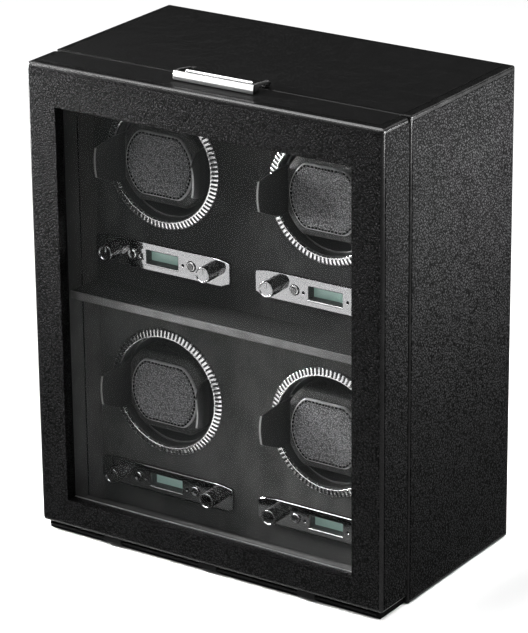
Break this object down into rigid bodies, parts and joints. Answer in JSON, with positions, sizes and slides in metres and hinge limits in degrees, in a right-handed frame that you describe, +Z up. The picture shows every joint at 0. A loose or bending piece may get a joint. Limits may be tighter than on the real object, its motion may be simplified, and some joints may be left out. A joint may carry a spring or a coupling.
{
  "type": "watch winder cabinet",
  "caption": "Leather-covered tabletop watch winder cabinet with a drop-down glazed door, motor-driven drums holding padded cuffs, and a control plate under each drum.",
  "frame": {"origin": "middle of the underside, on the surface that the cabinet stands on", "axes": "+X to the viewer's right, front (glass door) towards -Y, +Z up"},
  "size_m": [0.299, 0.175, 0.369],
  "materials": {
    "case_leather": "black pebble-grained leather, satin",
    "door_leather": "black pebble-grained leather, satin, with stitched edges",
    "suede": "dark grey brushed suede cloth",
    "cuff_black": "satin black moulding with a padded leatherette face",
    "pad_leather": "charcoal grained leather, stitched round its edge",
    "chrome": "polished chrome plate",
    "steel": "plain drawn steel",
    "glass": "clear polished sheet",
    "black_plastic": "matt black moulding",
    "display": "green liquid-crystal panel under a clear cover",
    "rubber": "matt black rubber"
  },
  "bodies": {
    "cabinet": {"case_shell": "case_leather", "back_cover": "black_plastic", "fascia_panel": "suede", "chassis_plate": "steel", "divider_shelf": "suede", "power_inlet": "black_plastic", "hinge_rod": "steel", "latch_base": "black_plastic", "latch_pin": "steel", "control_plate_upper_left": "chrome", "display_upper_left": "display", "gear_motor_upper_left": "steel", "control_plate_upper_right": "chrome", "display_upper_right": "display", "gear_motor_upper_right": "steel", "control_plate_lower_left": "chrome", "display_lower_left": "display", "gear_motor_lower_left": "steel", "control_plate_lower_right": "chrome", "display_lower_right": "display", "gear_motor_lower_right": "steel"},
    "door": {"door_frame": "door_leather", "glass_pane": "glass"},
    "latch": {"latch_lever": "chrome"},
    "drum_upper_left": {"drum_cup_upper_left": "black_plastic", "drum_ring_upper_left": "chrome"},
    "cuff_upper_left": {"cuff_core_upper_left": "cuff_black", "cuff_pad_upper_left": "pad_leather"},
    "roller_upper_left": {"drive_roller_upper_left": "rubber"},
    "turns_knob_upper_left": {"turns_knob_upper_left": "chrome"},
    "direction_knob_upper_left": {"direction_knob_upper_left": "chrome"},
    "mode_button_upper_left": {"mode_button_upper_left": "chrome"},
    "light_button_upper_left": {"light_button_upper_left": "chrome"},
    "drum_upper_right": {"drum_cup_upper_right": "black_plastic", "drum_ring_upper_right": "chrome"},
    "cuff_upper_right": {"cuff_core_upper_right": "cuff_black", "cuff_pad_upper_right": "pad_leather"},
    "roller_upper_right": {"drive_roller_upper_right": "rubber"},
    "turns_knob_upper_right": {"turns_knob_upper_right": "chrome"},
    "direction_knob_upper_right": {"direction_knob_upper_right": "chrome"},
    "mode_button_upper_right": {"mode_button_upper_right": "chrome"},
    "light_button_upper_right": {"light_button_upper_right": "chrome"},
    "drum_lower_left": {"drum_cup_lower_left": "black_plastic", "drum_ring_lower_left": "chrome"},
    "cuff_lower_left": {"cuff_core_lower_left": "cuff_black", "cuff_pad_lower_left": "pad_leather"},
    "roller_lower_left": {"drive_roller_lower_left": "rubber"},
    "turns_knob_lower_left": {"turns_knob_lower_left": "chrome"},
    "direction_knob_lower_left": {"direction_knob_lower_left": "chrome"},
    "mode_button_lower_left": {"mode_button_lower_left": "chrome"},
    "light_button_lower_left": {"light_button_lower_left": "chrome"},
    "drum_lower_right": {"drum_cup_lower_right": "black_plastic", "drum_ring_lower_right": "chrome"},
    "cuff_lower_right": {"cuff_core_lower_right": "cuff_black", "cuff_pad_lower_right": "pad_leather"},
    "roller_lower_right": {"drive_roller_lower_right": "rubber"},
    "turns_knob_lower_right": {"turns_knob_lower_right": "chrome"},
    "direction_knob_lower_right": {"direction_knob_lower_right": "chrome"},
    "mode_button_lower_right": {"mode_button_lower_right": "chrome"},
    "light_button_lower_right": {"light_button_lower_right": "chrome"}
  },
  "joints": [
    {"name": "door_swing", "type": "hinge", "parent": "cabinet", "child": "door", "pos_m": [0, -0.084, 0.0045], "axis": [1, 0, 0], "range_deg": [0, 90]},
    {"name": "latch_lift", "type": "hinge", "parent": "cabinet", "child": "latch", "pos_m": [0, -0.0495, 0.3645], "axis": [-1, 0, 0], "range_deg": [0, 60], "stiffness_Nm_per_rad": 0.01},
    {"name": "drum_spin_upper_left", "type": "hinge", "parent": "cabinet", "child": "drum_upper_left", "pos_m": [-0.0703, -0.0336, 0.284], "axis": [0, -1, 0], "continuous": true},
    {"name": "roller_spin_upper_left", "type": "hinge", "parent": "cabinet", "child": "roller_upper_left", "pos_m": [-0.0324, 0.0085, 0.2461], "axis": [0, -1, 0], "continuous": true},
    {"name": "cuff_pull_upper_left", "type": "slide", "parent": "drum_upper_left", "child": "cuff_upper_left", "axis": [0, -1, 0], "range_m": [0, 0.012]},
    {"name": "turns_knob_turn_upper_left", "type": "hinge", "parent": "cabinet", "child": "turns_knob_upper_left", "pos_m": [-0.1133, -0.0425, 0.212], "axis": [0, -1, 0], "range_deg": [-135, 135]},
    {"name": "direction_knob_turn_upper_left", "type": "hinge", "parent": "cabinet", "child": "direction_knob_upper_left", "pos_m": [-0.0273, -0.0425, 0.212], "axis": [0, -1, 0], "range_deg": [-45, 45]},
    {"name": "mode_button_press_upper_left", "type": "slide", "parent": "cabinet", "child": "mode_button_upper_left", "axis": [0, 1, 0], "range_m": [0, 0.001], "stiffness_N_per_m": 300},
    {"name": "light_button_press_upper_left", "type": "slide", "parent": "cabinet", "child": "light_button_upper_left", "axis": [0, 1, 0], "range_m": [0, 0.001], "stiffness_N_per_m": 300},
    {"name": "drum_spin_upper_right", "type": "hinge", "parent": "cabinet", "child": "drum_upper_right", "pos_m": [0.0703, -0.0336, 0.284], "axis": [0, -1, 0], "continuous": true},
    {"name": "roller_spin_upper_right", "type": "hinge", "parent": "cabinet", "child": "roller_upper_right", "pos_m": [0.0324, 0.0085, 0.2461], "axis": [0, -1, 0], "continuous": true},
    {"name": "cuff_pull_upper_right", "type": "slide", "parent": "drum_upper_right", "child": "cuff_upper_right", "axis": [0, -1, 0], "range_m": [0, 0.012]},
    {"name": "turns_knob_turn_upper_right", "type": "hinge", "parent": "cabinet", "child": "turns_knob_upper_right", "pos_m": [0.0273, -0.0425, 0.212], "axis": [0, -1, 0], "range_deg": [-135, 135]},
    {"name": "direction_knob_turn_upper_right", "type": "hinge", "parent": "cabinet", "child": "direction_knob_upper_right", "pos_m": [0.1133, -0.0425, 0.212], "axis": [0, -1, 0], "range_deg": [-45, 45]},
    {"name": "mode_button_press_upper_right", "type": "slide", "parent": "cabinet", "child": "mode_button_upper_right", "axis": [0, 1, 0], "range_m": [0, 0.001], "stiffness_N_per_m": 300},
    {"name": "light_button_press_upper_right", "type": "slide", "parent": "cabinet", "child": "light_button_upper_right", "axis": [0, 1, 0], "range_m": [0, 0.001], "stiffness_N_per_m": 300},
    {"name": "drum_spin_lower_left", "type": "hinge", "parent": "cabinet", "child": "drum_lower_left", "pos_m": [-0.0703, -0.0336, 0.108], "axis": [0, -1, 0], "continuous": true},
    {"name": "roller_spin_lower_left", "type": "hinge", "parent": "cabinet", "child": "roller_lower_left", "pos_m": [-0.0324, 0.0085, 0.1459], "axis": [0, -1, 0], "continuous": true},
    {"name": "cuff_pull_lower_left", "type": "slide", "parent": "drum_lower_left", "child": "cuff_lower_left", "axis": [0, -1, 0], "range_m": [0, 0.012]},
    {"name": "turns_knob_turn_lower_left", "type": "hinge", "parent": "cabinet", "child": "turns_knob_lower_left", "pos_m": [-0.1133, -0.0425, 0.036], "axis": [0, -1, 0], "range_deg": [-135, 135]},
    {"name": "direction_knob_turn_lower_left", "type": "hinge", "parent": "cabinet", "child": "direction_knob_lower_left", "pos_m": [-0.0273, -0.0425, 0.036], "axis": [0, -1, 0], "range_deg": [-45, 45]},
    {"name": "mode_button_press_lower_left", "type": "slide", "parent": "cabinet", "child": "mode_button_lower_left", "axis": [0, 1, 0], "range_m": [0, 0.001], "stiffness_N_per_m": 300},
    {"name": "light_button_press_lower_left", "type": "slide", "parent": "cabinet", "child": "light_button_lower_left", "axis": [0, 1, 0], "range_m": [0, 0.001], "stiffness_N_per_m": 300},
    {"name": "drum_spin_lower_right", "type": "hinge", "parent": "cabinet", "child": "drum_lower_right", "pos_m": [0.0703, -0.0336, 0.108], "axis": [0, -1, 0], "continuous": true},
    {"name": "roller_spin_lower_right", "type": "hinge", "parent": "cabinet", "child": "roller_lower_right", "pos_m": [0.0324, 0.0085, 0.1459], "axis": [0, -1, 0], "continuous": true},
    {"name": "cuff_pull_lower_right", "type": "slide", "parent": "drum_lower_right", "child": "cuff_lower_right", "axis": [0, -1, 0], "range_m": [0, 0.012]},
    {"name": "turns_knob_turn_lower_right", "type": "hinge", "parent": "cabinet", "child": "turns_knob_lower_right", "pos_m": [0.0273, -0.0425, 0.036], "axis": [0, -1, 0], "range_deg": [-135, 135]},
    {"name": "direction_knob_turn_lower_right", "type": "hinge", "parent": "cabinet", "child": "direction_knob_lower_right", "pos_m": [0.1133, -0.0425, 0.036], "axis": [0, -1, 0], "range_deg": [-45, 45]},
    {"name": "mode_button_press_lower_right", "type": "slide", "parent": "cabinet", "child": "mode_button_lower_right", "axis": [0, 1, 0], "range_m": [0, 0.001], "stiffness_N_per_m": 300},
    {"name": "light_button_press_lower_right", "type": "slide", "parent": "cabinet", "child": "light_button_lower_right", "axis": [0, 1, 0], "range_m": [0, 0.001], "stiffness_N_per_m": 300}
  ],
  "couplings": [
    {"joint": "roller_spin_upper_left", "follows": "drum_spin_upper_left", "ratio": -6.6143},
    {"joint": "roller_spin_upper_right", "follows": "drum_spin_upper_right", "ratio": -6.6143},
    {"joint": "roller_spin_lower_left", "follows": "drum_spin_lower_left", "ratio": -6.6143},
    {"joint": "roller_spin_lower_right", "follows": "drum_spin_lower_right", "ratio": -6.6143}
  ]
}
